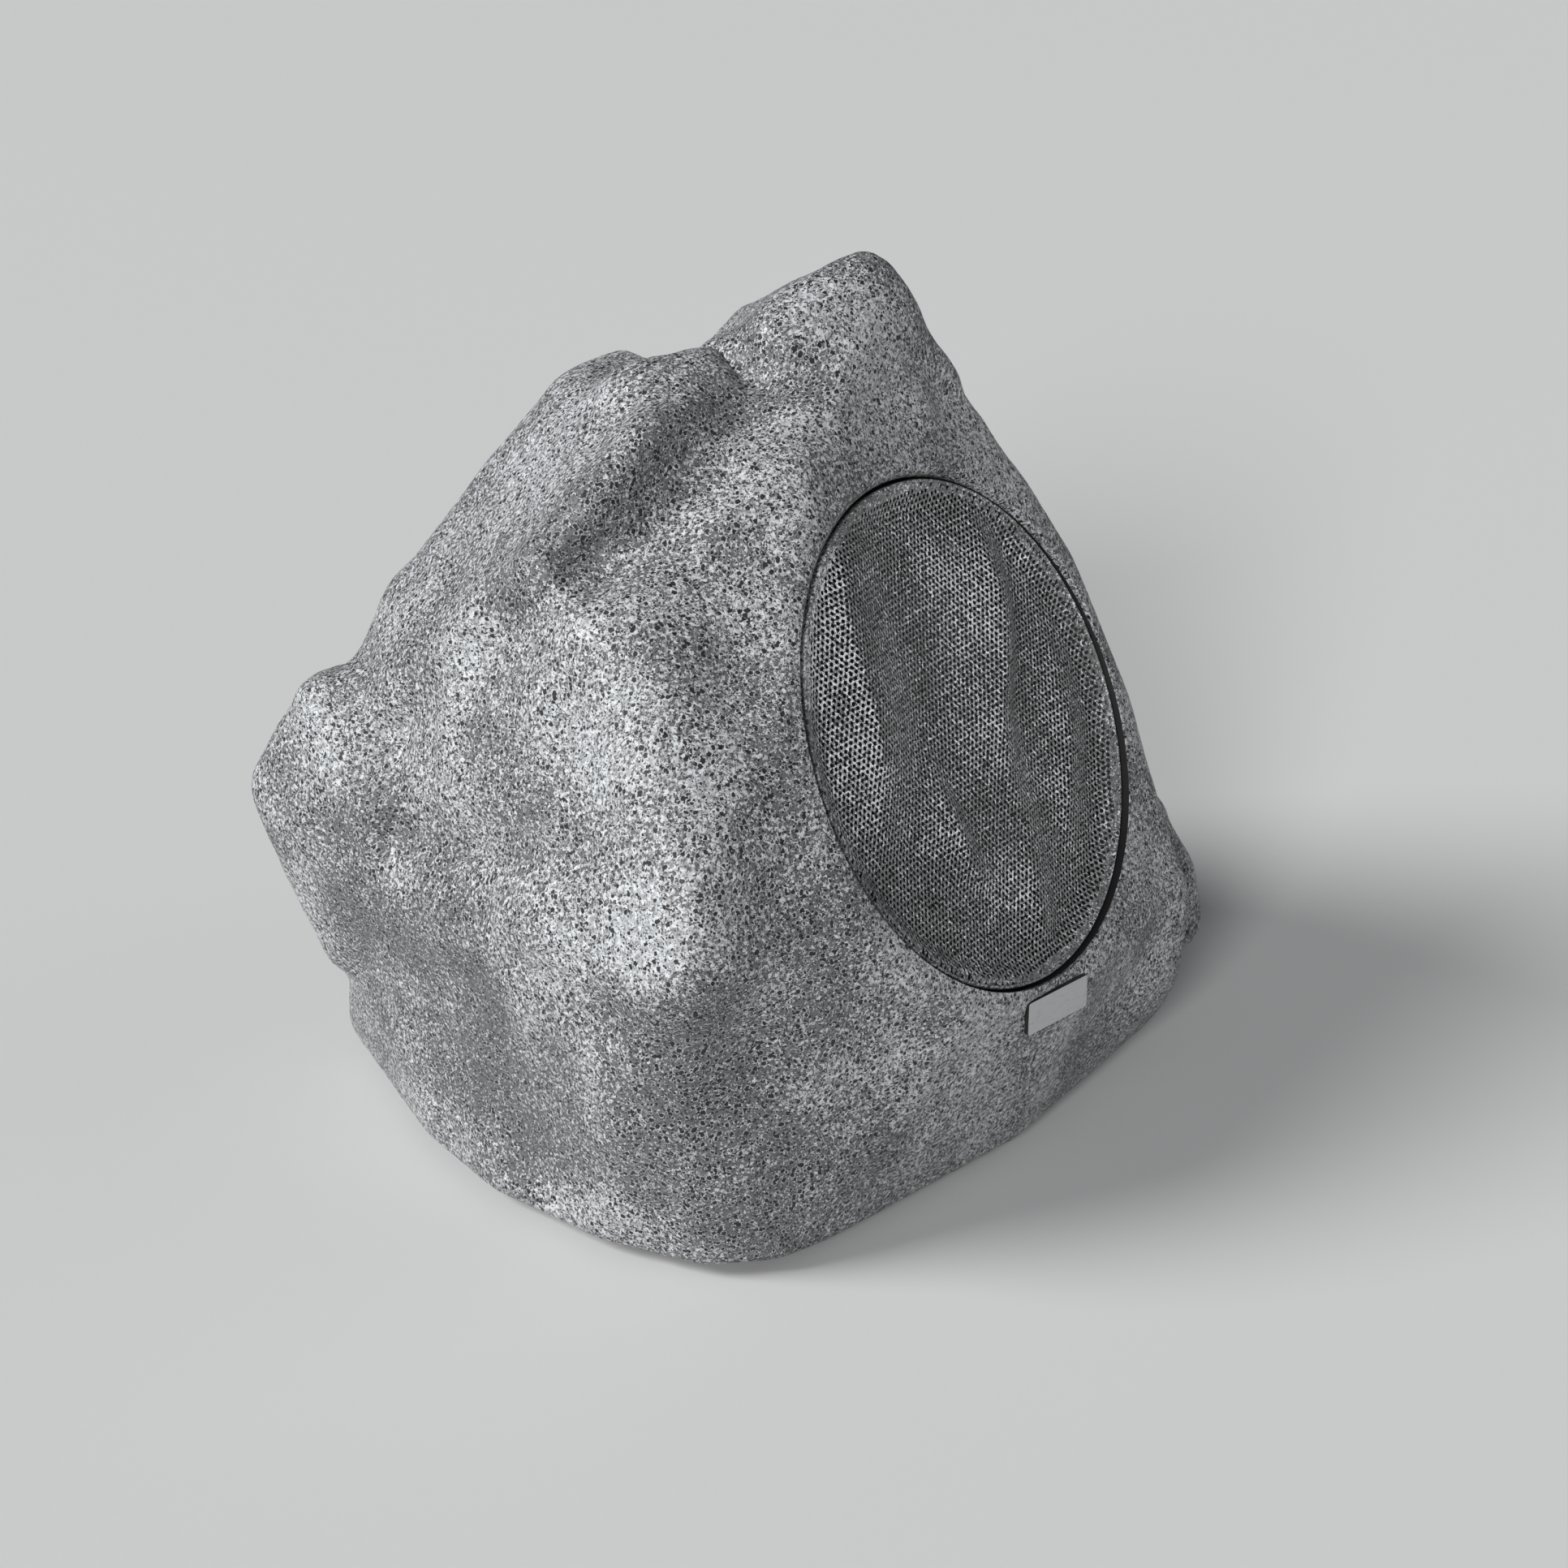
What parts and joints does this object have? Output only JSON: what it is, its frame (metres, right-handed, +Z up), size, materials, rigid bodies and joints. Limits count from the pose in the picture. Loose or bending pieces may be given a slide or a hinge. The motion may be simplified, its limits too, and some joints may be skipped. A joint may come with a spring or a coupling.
{
  "type": "rock shaped garden speaker",
  "caption": "Outdoor loudspeaker housed in a hollow moulded granite look rock, with a round waved perforated grille leaning back at the front and a closed base on rubber feet.",
  "frame": {"origin": "on the ground under the middle of the rock's outer box, which its feet stand on", "axes": "+Z up, -Y towards the side that the grille faces, +X to the right of someone who faces the grille"},
  "size_m": [0.3, 0.3, 0.309],
  "materials": {
    "granite_skin": "satin",
    "granite_mesh": "satin",
    "plate_metal": "satin",
    "black_plastic": "matte",
    "black_rubber": "matte",
    "screw_steel": "satin",
    "basket_plastic": "satin",
    "spider_cloth": "matte",
    "zinc_steel": "satin",
    "ferrite": "matte",
    "tag_brass": "satin",
    "lamination_steel": "satin",
    "winding_copper": "satin",
    "white_plastic": "satin",
    "wire_plastic": "satin",
    "cone_plastic": "satin",
    "coil_brass": "satin"
  },
  "bodies": {
    "cabinet": {"rock_shell": "granite_skin", "grille_mesh": "granite_mesh", "name_plate": "plate_metal", "base_plate": "black_plastic", "base_gasket": "black_rubber", "base_screws": "screw_steel", "rubber_feet": "black_rubber", "gland_body": "black_plastic", "gland_washer": "black_rubber", "gland_nut": "black_plastic", "gland_seal": "black_rubber", "gland_locknut": "black_plastic", "driver_basket": "basket_plastic", "driver_gasket": "black_rubber", "driver_screws": "screw_steel", "surround": "black_rubber", "spider": "spider_cloth", "top_plate": "zinc_steel", "magnet": "ferrite", "yoke": "zinc_steel", "driver_terminals": "tag_brass", "transformer_core": "lamination_steel", "transformer_winding": "winding_copper", "transformer_bracket": "zinc_steel", "transformer_screws": "screw_steel", "terminal_block": "white_plastic", "driver_leads": "wire_plastic", "line_leads": "wire_plastic"},
    "cone_assembly": {"cone": "cone_plastic", "dust_cap": "cone_plastic", "voice_coil": "coil_brass"}
  },
  "joints": [
    {"name": "cone_travel", "type": "slide", "parent": "cabinet", "child": "cone_assembly", "axis": [0, -0.9085, 0.4179], "range_m": [-0.003, 0.003], "stiffness_N_per_m": 3000, "deforming": ["surround", "spider"]}
  ]
}
